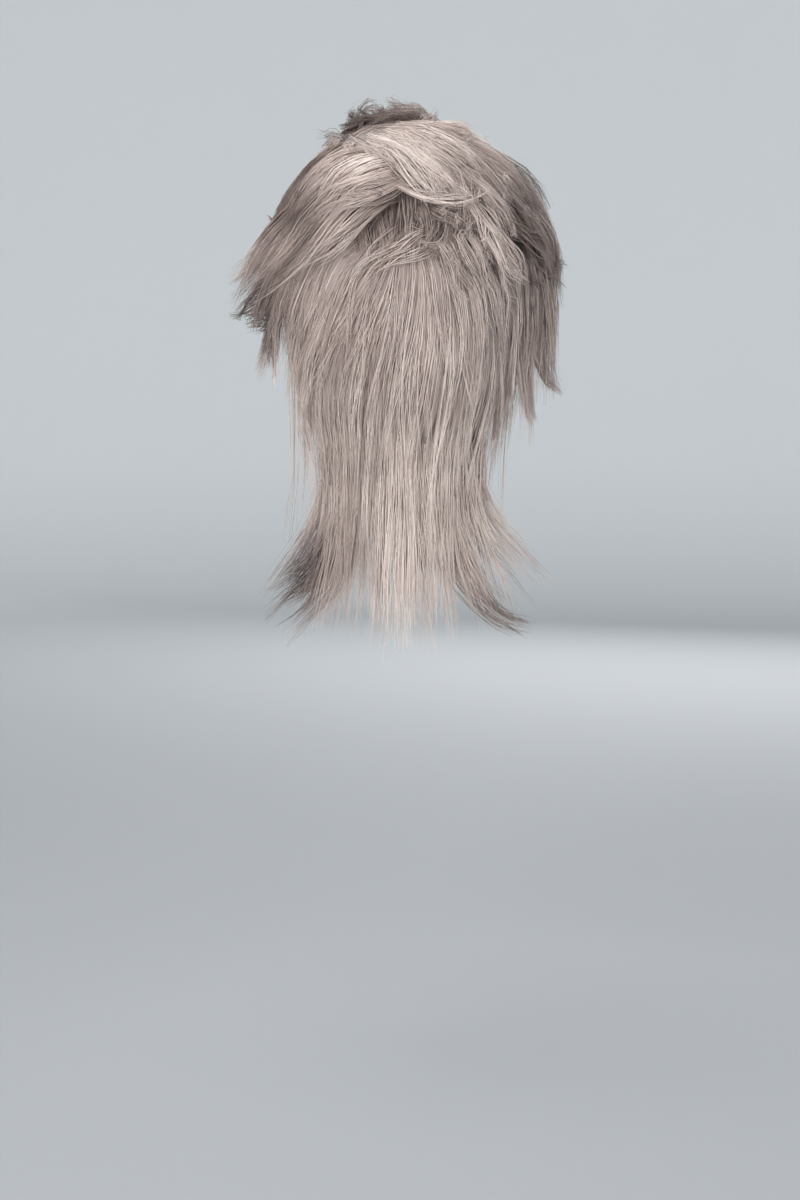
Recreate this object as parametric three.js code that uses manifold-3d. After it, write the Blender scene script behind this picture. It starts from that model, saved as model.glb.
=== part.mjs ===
// A mullet wig: a sewn cap that fits the head, and eight sections of hair on it.
// Each section is a thin backing of sewn roots that lies on the cap, with its locks fused to it.
// Millimetres, +Z up. The origin is on the inside of the cap at the crown, the face looks along -Y
// and the wearer's left is +X.
import * as THREE from "three";
import { mergeVertices } from "three/addons/utils/BufferGeometryUtils.js";
import Module from "manifold-3d";

const wasm = await Module();
wasm.setup();
const { lerp, degToRad, radToDeg } = THREE.MathUtils;

// The head that the cap is cut for.
const headHalfWidth = 76;
const headHalfLength = 95;
const crownHeight = 98; // from the crown down to the widest level of the head

// The cap and the sewn backings.
const capDepth = 153; // from the crown down to the cap's edge at the nape
const capWall = 1.6;
const backingWall = 2.6;
const fitGap = 0.4; // between pieces that lie on each other
const patchGap = 1.0; // between the backings, side by side on the cap

// The hair. A section's table holds shares of these.
const tailDrop = 386; // from the crown down to the tips of the tail
const hairDepth = 45; // how far the fullest hair stands off the scalp
const lockHalfWidth = 15;
const lockHalfThickness = 5.5;

// Facets. The cap and the backings on it share one grid, in degrees of turn and in levels:
// 0 at the crown, 1 at the crown seam and 2 at the cap's edge.
const turnCell = 11.25;
const capLevels = [0.2, 0.6, 1, 1.25, 1.5, 1.75, 2];
const lockRings = 6;
const lockSides = 4;
const guideSteps = 4;

// Below its widest level the form draws in to the neck and spreads over the upper back.
// Shares of the head's half width and half length, evenly spaced from the widest level to the tips.
const formBelow = {
  width: [1, 0.89, 0.81, 0.84, 0.98, 1.14],
  depth: [1, 0.94, 0.83, 0.82, 0.95, 1.15],
};

// How far down the seam round the crown lies.
const crownSeam = 0.43;

// How low the cap's edge lies, as shares of the cap's depth, evenly spaced from the nape to the forehead.
const capEdge = [1, 1, 0.94, 0.75, 0.6, 0.62, 0.79, 0.56, 0.46, 0.41, 0.39];

// A lock's width from root to tip, as shares of its fullest width.
const lockTaper = [0.65, 0.9, 1, 1, 0.98, 0.92, 0.8, 0.58, 0.2];

const hairColour = 0xb3a49c;
const shadeColour = 0x8d7f79;
const capColour = 0x6f6661;

// The value part of the way along a table entry: a plain number, or a list spread evenly from 0 to 1.
function along(entry, share) {
  if (typeof entry === "number") return entry;
  const place = share * (entry.length - 1);
  const low = Math.min(Math.floor(place), entry.length - 2);
  return lerp(entry[low], entry[low + 1], place - low);
}

// A point off the scalp. turn is in degrees from the back centre towards the wearer's left.
// down is 0 at the crown, 1 at the widest level of the head and 2 at the tail's tips. out is in millimetres.
function overHead(turn, down, out) {
  const angle = degToRad(turn);
  if (down <= 1) {
    const polar = (down * Math.PI) / 2;
    return new THREE.Vector3(
      Math.sin(angle) * Math.sin(polar) * (headHalfWidth + out),
      Math.cos(angle) * Math.sin(polar) * (headHalfLength + out),
      Math.cos(polar) * (crownHeight + out) - crownHeight,
    );
  }
  const below = down - 1;
  return new THREE.Vector3(
    Math.sin(angle) * (headHalfWidth * along(formBelow.width, below) + out),
    Math.cos(angle) * (headHalfLength * along(formBelow.depth, below) + out),
    -crownHeight - below * (tailDrop - crownHeight),
  );
}

// How far down a point of the scalp is that lies a drop in millimetres below the crown.
function downOf(drop) {
  if (drop < crownHeight) return Math.acos(1 - drop / crownHeight) / (Math.PI / 2);
  return 1 + (drop - crownHeight) / (tailDrop - crownHeight);
}

// How far down a level of the cap lies at a turn of -180 to 180 degrees, or past it.
function downAt(turn, level) {
  if (level <= 1) return crownSeam * level;
  const fromBack = Math.abs(((turn + 540) % 360) - 180);
  const edge = downOf(capDepth * along(capEdge, fromBack / 180));
  return lerp(crownSeam, edge, level - 1);
}

// A closed geometry from rings of points. Each ring has as many points as the next. An end is closed
// with a fan to its point or, where none is given, straight across between the ring's two halves.
function loft(rings, start, end) {
  const sides = rings[0].length;
  const positions = rings.flat().flatMap((p) => p.toArray());
  const index = [];
  for (let k = 0; k < rings.length - 1; k++) {
    for (let i = 0; i < sides; i++) {
      const [a, b] = [k * sides + i, k * sides + ((i + 1) % sides)];
      index.push(a, b, a + sides, b, b + sides, a + sides);
    }
  }
  const close = (first, point, facing) => {
    const faces = [];
    for (let i = 0; point && i < sides; i++) {
      faces.push([first + i, first + ((i + 1) % sides), positions.length / 3]);
    }
    for (let i = 0; !point && i < sides / 2 - 1; i++) {
      const [near, far] = [first + i, first + sides - 1 - i];
      faces.push([near, near + 1, far], [near + 1, far - 1, far]);
    }
    if (point) positions.push(...point.toArray());
    for (const [a, b, c] of faces) index.push(...(facing > 0 ? [a, b, c] : [b, a, c]));
  };
  close(0, start, -1);
  close((rings.length - 1) * sides, end, 1);
  const geometry = new THREE.BufferGeometry();
  geometry.setAttribute("position", new THREE.Float32BufferAttribute(positions, 3));
  geometry.setIndex(index);
  return geometry;
}

function solidOf(geometry) {
  const merged = mergeVertices(geometry, 1e-4);
  return new wasm.Manifold(
    new wasm.Mesh({
      numProp: 3,
      vertProperties: new Float32Array(merged.attributes.position.array),
      triVerts: new Uint32Array(merged.index.array),
    }),
  );
}

function geometryOf(solid) {
  const mesh = solid.getMesh();
  const geometry = new THREE.BufferGeometry();
  geometry.setAttribute("position", new THREE.BufferAttribute(mesh.vertProperties, 3));
  geometry.setIndex(new THREE.BufferAttribute(mesh.triVerts, 1));
  return geometry;
}

// The cap: one wall from the crown to its edge, which dips at the nape and at the two ear tabs.
function capGeometry() {
  const ring = (level, out) =>
    Array.from({ length: 360 / turnCell }, (_, i) => {
      const turn = i * turnCell;
      return overHead(turn, downAt(turn, level), out);
    });
  const outside = capLevels.map((level) => ring(level, capWall));
  const inside = capLevels.map((level) => ring(level, 0)).reverse();
  return loft([...outside, ...inside], overHead(0, 0, capWall), overHead(0, 0, 0));
}

// A section's backing with its underhair: a patch over part of the cap, as thick as its fill says
// from top to bottom, and grown by a margin on every side.
function backingGeometry(patch, grow) {
  const levels = capLevels.filter((level) => level >= patch.level[0] && level <= patch.level[1]);
  const last = levels.length - 1;
  const edgeGap = patchGap / 2 - grow;
  const turnGap = radToDeg(edgeGap / headHalfWidth);
  const downGap = edgeGap / crownHeight;
  const turns = [patch.turn[0] + turnGap];
  for (let turn = patch.turn[0] + turnCell; turn < patch.turn[1]; turn += turnCell) turns.push(turn);
  turns.push(patch.turn[1] - turnGap);
  const inner = capWall + fitGap - grow;
  const rings = turns.map((turn) => {
    const at = (k, out) => {
      const gap = k === 0 ? downGap : k === last ? -downGap : 0;
      return overHead(turn, downAt(turn, levels[k]) + gap, out);
    };
    const inside = levels.map((_, k) => at(k, inner));
    const outside = levels.map((_, k) => {
      return at(k, inner + backingWall + 2 * grow + hairDepth * along(patch.fill, k / last));
    });
    return [...inside, ...outside.reverse()];
  });
  return loft(rings);
}

// The line that a lock follows, from its root in the backing to its tip. Half way it stands off by
// its lift. Sweep, fall and flick are how late it turns, drops and leaves the head:
// 1 is an even course, less is early and more is late.
function lockCurve(lock) {
  const root = capWall + fitGap + lockHalfThickness * lock.thickness;
  const points = [];
  for (let i = 0; i <= guideSteps; i++) {
    const share = i / guideSteps;
    const hump = 4 * share * (1 - share);
    points.push(
      overHead(
        lerp(lock.rootTurn, lock.tipTurn, share ** lock.sweep),
        lerp(lock.rootDown, lock.tipDown, share ** lock.fall),
        root + hairDepth * (lock.tipOut * share ** lock.flick + lock.lift * hump),
      ),
    );
  }
  return new THREE.CatmullRomCurve3(points, false, "catmullrom");
}

// Away from the head: from its middle over the dome, and level below that.
function outward(point) {
  const height = Math.max(0, point.z + crownHeight);
  return new THREE.Vector3(point.x, point.y, height).normalize();
}

// One lock: flat rings along its line, from a blunt root to a point.
function lockGeometry(lock, grow) {
  const curve = lockCurve(lock);
  const rings = [];
  for (let k = 0; k < lockRings; k++) {
    const share = k / lockRings;
    const point = curve.getPoint(share);
    const tangent = curve.getTangent(share);
    const side = new THREE.Vector3().crossVectors(outward(point), tangent).normalize();
    const up = new THREE.Vector3().crossVectors(tangent, side);
    const taper = along(lockTaper, share);
    const halfWidth = lockHalfWidth * lock.width * taper + grow;
    const halfThickness = lockHalfThickness * lock.thickness * taper + grow;
    rings.push(
      Array.from({ length: lockSides }, (_, i) => {
        const angle = (2 * Math.PI * i) / lockSides;
        return point
          .clone()
          .addScaledVector(side, Math.cos(angle) * halfWidth)
          .addScaledVector(up, Math.sin(angle) * halfThickness);
      }),
    );
  }
  const start = curve.getPoint(0).addScaledVector(curve.getTangent(0), -grow);
  const end = curve.getPoint(1).addScaledVector(curve.getTangent(1), grow);
  return loft(rings, start, end);
}

// What a row of locks has unless its table says otherwise.
const usualRow = { sweep: 1, fall: 1, flick: 3, stagger: 0 };

// The locks of one row of hair, spread evenly between the row's two ends.
// Every other lock ends higher by the stagger, and the ones between lower.
function locksOf(row) {
  const { count, stagger, ...shape } = { ...usualRow, ...row };
  return Array.from({ length: count }, (_, i) => {
    const lock = {};
    for (const [name, entry] of Object.entries(shape)) lock[name] = along(entry, i / (count - 1));
    lock.tipDown += i % 2 ? stagger : -stagger;
    return lock;
  });
}

// The sections, from the innermost to the outermost. patch is the stretch of cap under the backing,
// from one turn to another and from one level to another.
const sections = [
  {
    name: "nape_tail",
    colour: shadeColour,
    patch: { turn: [-45, 45], level: [1.5, 2], fill: [0.15, 0.25, 0.1] },
    rows: [
      {
        count: 9, rootTurn: [-40, 38], rootDown: 1,
        tipTurn: [-60, -32, -14, 2, 16, 30, 56], tipDown: [1.86, 1.93, 1.97, 1.99, 1.99, 1.95, 1.88],
        tipOut: [0.85, 0.25, 0.1, 0.05, 0.1, 0.25, 0.8], lift: 0.14, sweep: 2.6, flick: 4,
        stagger: 0.015, width: 1, thickness: 1.3,
      },
    ],
  },
  {
    name: "back_layer",
    colour: hairColour,
    patch: { turn: [-45, 45], level: [1, 1.5], fill: [0.2, 0.35, 0.15] },
    rows: [
      {
        count: 8, rootTurn: [-36, 34], rootDown: 0.58,
        tipTurn: [-46, -28, -12, 4, 20, 42], tipDown: [1.74, 1.86, 1.92, 1.9, 1.82, 1.68],
        tipOut: [0.6, 0.42, 0.35, 0.35, 0.42, 0.6], lift: 0.44, sweep: 2, stagger: 0.03,
        width: 1.05, thickness: 1.4,
      },
      {
        count: 4, rootTurn: [-14, 34], rootDown: [0.72, 0.58],
        tipTurn: [50, 60, 70, 79], tipDown: [1.42, 1.32, 1.2, 1.09], tipOut: [0.45, 0.7, 0.95, 1.3],
        lift: [0.6, 0.4], sweep: 1.1, width: 0.95, thickness: 0.9,
      },
    ],
  },
  {
    name: "side_left",
    colour: hairColour,
    patch: { turn: [45, 135], level: [1, 2], fill: [0.2, 0.35, 0.4, 0.3, 0.1] },
    rows: [
      {
        count: 6, rootTurn: [54, 124], rootDown: 0.78,
        tipTurn: [52, 64, 80, 98, 114], tipDown: [1.42, 1.36, 1.26, 1.22, 1.16],
        tipOut: [0.45, 0.65, 0.85, 0.7, 0.4], lift: 0.32, stagger: 0.02, width: 1.05, thickness: 1.2,
      },
      {
        count: 4, rootTurn: [58, 122], rootDown: 0.52,
        tipTurn: [80, 88, 98, 112], tipDown: [1.02, 1.1, 1.14, 1.1], tipOut: [1.15, 1.2, 1, 0.6],
        lift: 0.26, width: 1.1, thickness: 1.1,
      },
    ],
  },
  {
    name: "side_right",
    colour: shadeColour,
    patch: { turn: [-135, -45], level: [1, 2], fill: [0.3, 0.5, 0.5, 0.4, 0.15] },
    rows: [
      {
        count: 6, rootTurn: [-54, -124], rootDown: 0.78,
        tipTurn: [-52, -68, -80, -98, -114], tipDown: [1.46, 1.43, 1.34, 1.26, 1.18],
        tipOut: [0.5, 0.85, 1.15, 0.8, 0.4], lift: [0.4, 0.62, 0.42], stagger: 0.02,
        width: 1.05, thickness: 1.2,
      },
      {
        count: 4, rootTurn: [-58, -122], rootDown: 0.52,
        tipTurn: [-76, -88, -102, -114], tipDown: [1.06, 1.14, 1.12, 1.04], tipOut: [0.85, 0.95, 0.9, 0.55],
        lift: 0.52, width: 1.1, thickness: 1.1,
      },
    ],
  },
  {
    name: "fringe",
    colour: hairColour,
    patch: { turn: [135, 225], level: [1, 2], fill: [0.25, 0.4, 0.4, 0.3, 0.15] },
    rows: [
      {
        count: 7, rootTurn: [140, 220], rootDown: 0.56,
        tipTurn: [126, 142, 156, 172, 190, 212, 234], tipDown: [1.2, 1.06, 1, 0.98, 1, 1.06, 1.2],
        tipOut: [0.3, 0.35, 0.4, 0.45, 0.4, 0.35, 0.3], lift: 0.4, stagger: 0.02,
        width: 1, thickness: 1.1,
      },
    ],
  },
  {
    name: "crown_front",
    colour: shadeColour,
    patch: { turn: [135, 225], level: [0.2, 1], fill: [0.3, 0.45, 0.3] },
    rows: [
      {
        count: 5, rootTurn: [142, 218], rootDown: 0.2,
        tipTurn: [122, 148, 176, 208, 236], tipDown: [0.84, 0.8, 0.76, 0.8, 0.86],
        tipOut: 0.62, lift: 0.5, width: 1.15, thickness: 1.1,
      },
      {
        count: 3, rootTurn: [206, 246], rootDown: [0.16, 0.3],
        tipTurn: [232, 262], tipDown: [-0.36, -0.2], tipOut: [0.75, 0.6], lift: 0.24, width: 1.05,
        thickness: 1.1,
      },
    ],
  },
  {
    name: "crown_right",
    colour: hairColour,
    patch: { turn: [-135, 0], level: [0.2, 1], fill: [0.3, 0.45, 0.35] },
    rows: [
      {
        count: 3, rootTurn: [-8, -30], rootDown: [0.36, 0.26],
        tipTurn: [-26, -50, -66], tipDown: [0.88, 0.9, 0.84], tipOut: [0.5, 0.65, 0.75],
        lift: 0.5, sweep: 0.9, width: 1.1, thickness: 1,
      },
      {
        count: 4, rootTurn: [-52, -122], rootDown: 0.2,
        tipTurn: [-78, -92, -106, -120], tipDown: [0.84, 0.98, 0.98, 0.88], tipOut: [0.85, 0.85, 0.8, 0.65],
        lift: 0.52, width: 1.15, thickness: 1.1,
      },
      {
        count: 2, rootTurn: [-14, -34], rootDown: [0.34, 0.14],
        tipTurn: [-62, -70], tipDown: [0.56, 0.44], tipOut: [0.6, 0.7], lift: 0.48,
        width: 0.9, thickness: 0.9,
      },
    ],
  },
  {
    name: "crown_left",
    colour: hairColour,
    patch: { turn: [0, 135], level: [0.2, 1], fill: [0.3, 0.4, 0.3] },
    rows: [
      {
        count: 3, rootTurn: [8, 34], rootDown: [0.4, 0.28],
        tipTurn: [86, 84, 90], tipDown: [1.05, 0.98, 0.9], tipOut: [1.25, 1.1, 0.9],
        lift: [0.3, 0.34], sweep: 0.62, fall: 1.4, flick: 4, width: 1.1, thickness: 1,
      },
      {
        count: 2, rootTurn: [4, 14], rootDown: 0.4,
        tipTurn: [42, 62], tipDown: [0.96, 0.9], tipOut: [0.5, 0.6], lift: 0.42, sweep: 0.8, fall: 1.2,
        width: 0.9, thickness: 0.9,
      },
      {
        count: 2, rootTurn: [30, 52], rootDown: [0.36, 0.2],
        tipTurn: [-26, -40], tipDown: [0.62, 0.7], tipOut: [0.55, 0.6], lift: [0.42, 0.46],
        sweep: 1.1, width: 1.15, thickness: 1,
      },
      {
        count: 3, rootTurn: [62, 120], rootDown: 0.18,
        tipTurn: [84, 100, 120], tipDown: [0.84, 0.88, 0.82], tipOut: [0.62, 0.7, 0.6],
        lift: 0.3, width: 1.2, thickness: 1,
      },
    ],
  },
];

function sectionSolid(section, grow) {
  const locks = section.rows.flatMap(locksOf).map((lock) => solidOf(lockGeometry(lock, grow)));
  return wasm.Manifold.union([solidOf(backingGeometry(section.patch, grow)), ...locks]);
}

// The body with the most hair in it, without the crumbs that a cut can leave.
function mainBody(solid) {
  return solid.decompose().reduce((a, b) => (b.volume() > a.volume() ? b : a));
}

function piece(name, geometry, color) {
  const material = new THREE.MeshStandardMaterial({ color, roughness: 0.55, metalness: 0 });
  const mesh = new THREE.Mesh(geometry, material);
  mesh.name = name;
  return mesh;
}

const wig = new THREE.Group();
wig.add(piece("wig_cap", capGeometry(), capColour));

// An outer section gives way to the ones under it, and keeps its gap to them.
// The cap's own room is cut from every section too.
let taken = solidOf(capGeometry());
for (const section of sections) {
  const solid = mainBody(sectionSolid(section, 0).subtract(taken));
  wig.add(piece(section.name, geometryOf(solid), section.colour));
  taken = taken.add(sectionSolid(section, fitGap));
}

export default wig;
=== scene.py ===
import math

import bpy
import numpy as np
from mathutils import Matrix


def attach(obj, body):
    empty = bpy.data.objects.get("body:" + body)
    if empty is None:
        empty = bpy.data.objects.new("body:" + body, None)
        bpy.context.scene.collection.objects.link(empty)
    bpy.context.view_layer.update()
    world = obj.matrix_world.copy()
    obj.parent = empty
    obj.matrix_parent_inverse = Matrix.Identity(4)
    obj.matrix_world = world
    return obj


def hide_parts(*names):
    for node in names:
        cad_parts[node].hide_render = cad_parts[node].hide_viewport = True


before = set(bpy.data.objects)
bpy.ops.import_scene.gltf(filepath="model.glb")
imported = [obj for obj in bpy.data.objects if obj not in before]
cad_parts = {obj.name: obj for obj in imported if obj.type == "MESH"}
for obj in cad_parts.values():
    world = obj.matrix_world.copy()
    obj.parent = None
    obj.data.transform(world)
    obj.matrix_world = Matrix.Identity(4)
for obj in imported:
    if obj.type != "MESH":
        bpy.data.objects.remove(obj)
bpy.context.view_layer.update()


# The cap: one wall of elastic net, cut to an average head, with the wefts sewn to it in rows and a
# bound edge. It is the modelled piece itself, so only its finish is made here.
class Wire:
    """One output in a tree of nodes. Arithmetic on it adds the nodes that do it."""

    def __init__(self, tree, socket=None):
        self.tree, self.socket = tree, socket

    def add(self, kind, settings={}, sockets={}, output=0):
        node = self.tree.nodes.new(kind)
        for name, value in settings.items():
            if name == "stops":
                ramp = node.color_ramp.elements
                for k, (place, colour) in enumerate(value):
                    stop = ramp[k] if k < 2 else ramp.new(place)
                    stop.position, stop.color = place, (*colour, 1)
            else:
                setattr(node, name, value)
        for name, value in sockets.items():
            if isinstance(value, Wire):
                self.tree.links.new(value.socket, node.inputs[name])
            else:
                node.inputs[name].default_value = value
        return Wire(self.tree, node.outputs[output] if len(node.outputs) else None)

    def sum_of(self, operation, *values):
        return self.add("ShaderNodeMath", {"operation": operation}, dict(enumerate(values)))

    def __add__(self, other):
        return self.sum_of("ADD", self, other)

    def __mul__(self, other):
        return self.sum_of("MULTIPLY", self, other)

    def __sub__(self, other):
        return self.sum_of("SUBTRACT", self, other)

    def __rsub__(self, other):
        return self.sum_of("SUBTRACT", other, self)

    def __pow__(self, other):
        return self.sum_of("POWER", self, other)

    __radd__, __rmul__ = __add__, __mul__

    def clamped(self):
        return self.add("ShaderNodeClamp", {}, {"Value": self})

    def mixed(self, first, second):
        sockets = {0: self, 6: first, 7: second}
        return self.add("ShaderNodeMix", {"data_type": "RGBA"}, sockets, 2)

    def attribute(self, name):
        return self.add("ShaderNodeAttribute", {"attribute_name": name}, {}, "Fac")


def new_finish(name):
    """A new material with nothing in it but its output."""
    material = bpy.data.materials.new(name)
    material.use_nodes = True
    material.node_tree.nodes.clear()
    return material, Wire(material.node_tree)


def close_finish(wire, **sockets):
    """Ends a material with its shader. Sockets are named with _ for a space."""
    sockets = {name.replace("_", " "): value for name, value in sockets.items()}
    shader = wire.add("ShaderNodeBsdfPrincipled", {}, sockets)
    wire.add("ShaderNodeOutputMaterial", {}, {"Surface": shader})


CAP_DARK = (0.060, 0.048, 0.044)
CAP_LIGHT = (0.205, 0.170, 0.155)
WEFT_PITCH, WEFT_CONTRAST, WEFT_ROUNDING = 0.011, 5, 0.2
NET_PITCH, NET_CONTRAST, NET_RELIEF = 0.0011, 900, 0.0006

cap_net, wire = new_finish("elastic_cap_net")
place = wire.add("ShaderNodeTexCoord", {}, {}, "Object")
x, y, z = (wire.add("ShaderNodeSeparateXYZ", {}, {0: place}, axis) for axis in "XYZ")
row = wire.sum_of("PINGPONG", z, WEFT_PITCH / 2) * (2 / WEFT_PITCH)
weft = wire.sum_of("SMOOTH_MIN", row * WEFT_CONTRAST, 1.0, WEFT_ROUNDING).clamped()
threads = [wire.sum_of("PINGPONG", way, NET_PITCH) * NET_CONTRAST for way in (x + z, x - z + y)]
net = wire.sum_of("MAXIMUM", *threads).clamped()
colour = (net * weft).mixed((*CAP_DARK, 1), (*CAP_LIGHT, 1))
relief = {"Strength": 0.5, "Distance": NET_RELIEF, "Height": net + weft * 2}
bump = wire.add("ShaderNodeBump", {}, relief)
close_finish(wire, Base_Color=colour, Roughness=0.8, Normal=bump)

wig_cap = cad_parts["wig_cap"]
wig_cap.data.materials.clear()
wig_cap.data.materials.append(cap_net)


# The nape tail: the lowest wefts, long straight hair that runs down the neck and spreads over the
# upper back. Soft synthetic strands, sewn to the cap at their roots, cut to wispy points.
HEAD_HALF_WIDTH, HEAD_HALF_LENGTH, CROWN_HEIGHT = 0.076, 0.095, 0.098
CAP_DEPTH, CAP_WALL, BACKING_WALL, FIT_GAP = 0.153, 0.0016, 0.0026, 0.0004
TAIL_DROP, HAIR_DEPTH = 0.386, 0.045
LOCK_HALF_WIDTH, LOCK_HALF_THICKNESS = 0.015, 0.0055
# The form's width and depth at even levels from the ears down to the tips, as shares of the head's.
FORM_WIDTH = [1, 0.89, 0.81, 0.84, 0.98, 1.14]
FORM_DEPTH = [1, 0.94, 0.83, 0.82, 0.95, 1.15]
# How far down the crown's hair reaches, and the cap's edge from the back round to the forehead.
CROWN_SEAM = 0.43
CAP_EDGE = [1, 1, 0.94, 0.75, 0.6, 0.62, 0.79, 0.56, 0.46, 0.41, 0.39]
# How locks and strands narrow from root to tip. Loose ones narrow at the root too.
LOCK_TAPER = [0.65, 0.9, 1, 1, 0.98, 0.92, 0.8, 0.58, 0.3]
STRAND_TAPER = [0.7, 0.95, 1, 1, 1, 0.95, 0.82, 0.6, 0.2]
LOOSE_TAPER = [0.15, 0.7, 1, 1, 1, 0.95, 0.82, 0.6, 0.2]
STRAND_RADIUS, STRAND_POINTS, STRAND_SIDES = 0.00029, 8, 3
# Painted light and shade on the hair's tone: darker patches are painted shade on the shaded side,
# in hollows, between locks, along the edges and at the tail's flares, and paler ones are painted
# light on lit locks and the tail. Each is a place in millimetres, how far it reaches, and how much.
PAINTED_LIGHT_AND_SHADE_PATCHES = (
    ((-98, 20, -60), 42, -0.2), ((-104, 20, -140), 28, -0.12), ((-34, 85, -20), 13, -0.22),
    ((-54, 80, -52), 17, -0.12), ((14, 100, -54), 19, -0.38), ((38, 0, 20), 24, -0.22),
    ((-22, 70, 0), 26, 0.12), ((30, 75, -8), 22, 0.18),
    ((92, 30, -50), 40, -0.62), ((80, 20, -10), 20, -0.3),
    ((112, 15, -126), 30, -0.6), ((104, 20, -148), 22, -0.3), ((2, 88, -22), 10, -0.3),
    ((86, 98, -326), 34, -0.6), ((-74, 105, -356), 28, -0.4), ((40, 80, -80), 40, -0.08),
    ((0, 90, -250), 80, 0.2),
)


def along(entry, share):
    """The value part of the way along a table entry: one number, or a list spread from 0 to 1."""
    if isinstance(entry, (int, float)):
        return entry + 0 * share
    return np.interp(share, np.linspace(0, 1, len(entry)), entry)


def over_head(turn, down, out):
    """Points off the scalp: turn in degrees from the back centre to the wearer's left, down from 0
    at the crown through 1 at the head's widest level to 2 at the tail's tips, out in metres."""
    angle, polar = np.radians(turn), np.minimum(down, 1) * np.pi / 2
    below = np.maximum(down - 1, 0)
    width = HEAD_HALF_WIDTH * along(FORM_WIDTH, below) + out
    length = HEAD_HALF_LENGTH * along(FORM_DEPTH, below) + out
    height = np.cos(polar) * (CROWN_HEIGHT + out) - CROWN_HEIGHT
    height = height - below * (TAIL_DROP - CROWN_HEIGHT)
    x, y = np.sin(angle) * np.sin(polar) * width, np.cos(angle) * np.sin(polar) * length
    return np.stack([x, y, height], -1)


def unit(vectors):
    return vectors / np.maximum(np.linalg.norm(vectors, axis=-1, keepdims=True), 1e-9)


# How a lock lies where its row says nothing else. Sweep, fall and flick say how late along it the
# lock turns, drops and stands out. Width, thickness and waist scale its size, and brush is the
# least that it narrows to. Drift and draw part its clumps and close them, shortest is the shortest
# clump, and cross, curl, frizz and strays loosen its strands, curl and frizz in millimetres. Under
# is how much of it has dense hair beneath.
# The tip tone is painted shade and light: it makes a lock's tips darker or paler.
USUAL_LOCK = {
    "sweep": 1, "fall": 1, "flick": 3, "stagger": 0, "width": 1, "thickness": 1, "waist": 1,
    "brush": 0.4, "drift": 0.4, "draw": 0.5, "shortest": 0.8, "cross": 0.16, "curl": 0,
    "frizz": 0.9, "strays": 0.12, "tip_tone": 0, "under": 0.9,
}
GUIDE_POINTS = 5


def locks_of(row):
    """The locks of one row of hair, spread evenly between the row's two ends, each with the points
    that it passes through. A row with a path is one lock that follows it."""
    row = {**USUAL_LOCK, **row}
    if "path" in row:
        turn, down, out = np.array(row["path"], float).T
        return [{**row, "guide": over_head(turn, down, out / 1000)}]
    locks, guide = [], np.linspace(0, 1, GUIDE_POINTS)
    for i in range(row["count"]):
        share = i / max(row["count"] - 1, 1)
        lock = {name: float(along(entry, share)) for name, entry in row.items()}
        tip_down = lock["tip_down"] + (lock["stagger"] if i % 2 else -lock["stagger"])
        root = CAP_WALL + FIT_GAP + LOCK_HALF_THICKNESS * lock["thickness"]
        rise = lock["tip_out"] * guide ** lock["flick"] + lock["lift"] * 4 * guide * (1 - guide)
        lock["guide"] = over_head(
            lock["root_turn"] + (lock["tip_turn"] - lock["root_turn"]) * guide ** lock["sweep"],
            lock["root_down"] + (tip_down - lock["root_down"]) * guide ** lock["fall"],
            root + HAIR_DEPTH * rise,
        )
        locks.append(lock)
    return locks


def lock_line(lock, shares):
    """A lock's middle line with the directions across it and away from the head, at shares of its
    length. Past the tip it runs straight on."""
    points = lock["guide"]
    spans = len(points) - 1
    points = np.vstack([2 * points[0] - points[1], points, 2 * points[-1] - points[-2]])
    place = np.clip(shares, 0, 0.9999) * spans
    k = place.astype(int)
    t = (place - k)[..., None]
    p0, p1, p2, p3 = (points[k + n] for n in range(4))
    bow, twist = 2 * p0 - 5 * p1 + 4 * p2 - p3, 3 * p1 - p0 - 3 * p2 + p3
    middle = 0.5 * (2 * p1 + (p2 - p0) * t + bow * t**2 + twist * t**3)
    tangent = 0.5 * (p2 - p0 + 2 * bow * t + 3 * twist * t**2)
    middle = middle + spans * tangent * np.maximum(shares - 1, 0)[..., None]
    away = middle * [1, 1, 0]
    away[..., 2] = np.maximum(0, middle[..., 2] + CROWN_HEIGHT)
    side = unit(np.cross(unit(away), unit(tangent)))
    return middle, side, np.cross(unit(tangent), side)


def clear_of_head(points, gap):
    """Moves points that lie inside the head's form out to a gap off it."""
    below = np.clip((-points[..., 2] - CROWN_HEIGHT) / (TAIL_DROP - CROWN_HEIGHT), 0, 1)
    half = np.stack([
        HEAD_HALF_WIDTH * along(FORM_WIDTH, below) + gap,
        HEAD_HALF_LENGTH * along(FORM_DEPTH, below) + gap,
        np.full(below.shape, CROWN_HEIGHT + gap),
    ], -1)
    middle = np.zeros_like(points)
    middle[..., 2] = np.minimum(-CROWN_HEIGHT, points[..., 2])
    reach = np.linalg.norm((points - middle) / half, axis=-1)
    push = np.where(reach < 1, 1 / np.maximum(reach, 0.05), 1)
    return middle + (points - middle) * push[..., None]


# How clumps and strands vary inside a lock. Places across and through it are shares of its half
# width and half thickness, waves and gaps are in metres, and paces in radians over its length.
CLUMP_SIDES, CLUMP_SHIFT, CLUMP_HEIGHTS, LONGEST_CLUMP = (-0.85, 0.85), 0.12, (-0.5, 0.4), 1.04
MOST_DRIFT, MOST_CROSS, CUT_BACK, DRAW_POWER = 1.3, 2, 0.24, 1.3
BUNCH_WIDTH, BUNCH_CROWDING, BUNCH_HEIGHT = 1.9, 0.8, 0.65
SIDE_WAVE, OUTWARD_WAVE, WAVE_PACE, WAVE_EXTRA, OUTWARD_PACE = 0.0016, 0.0011, 5, 4, 0.8
STRAY_FRIZZ, FRIZZ_POWER, FRIZZ_PACES = (1, 4), 1.2, (4, 13)
ROOT_SHARE, STRAND_CLEARANCE = 0.12, 0.0022
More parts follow.
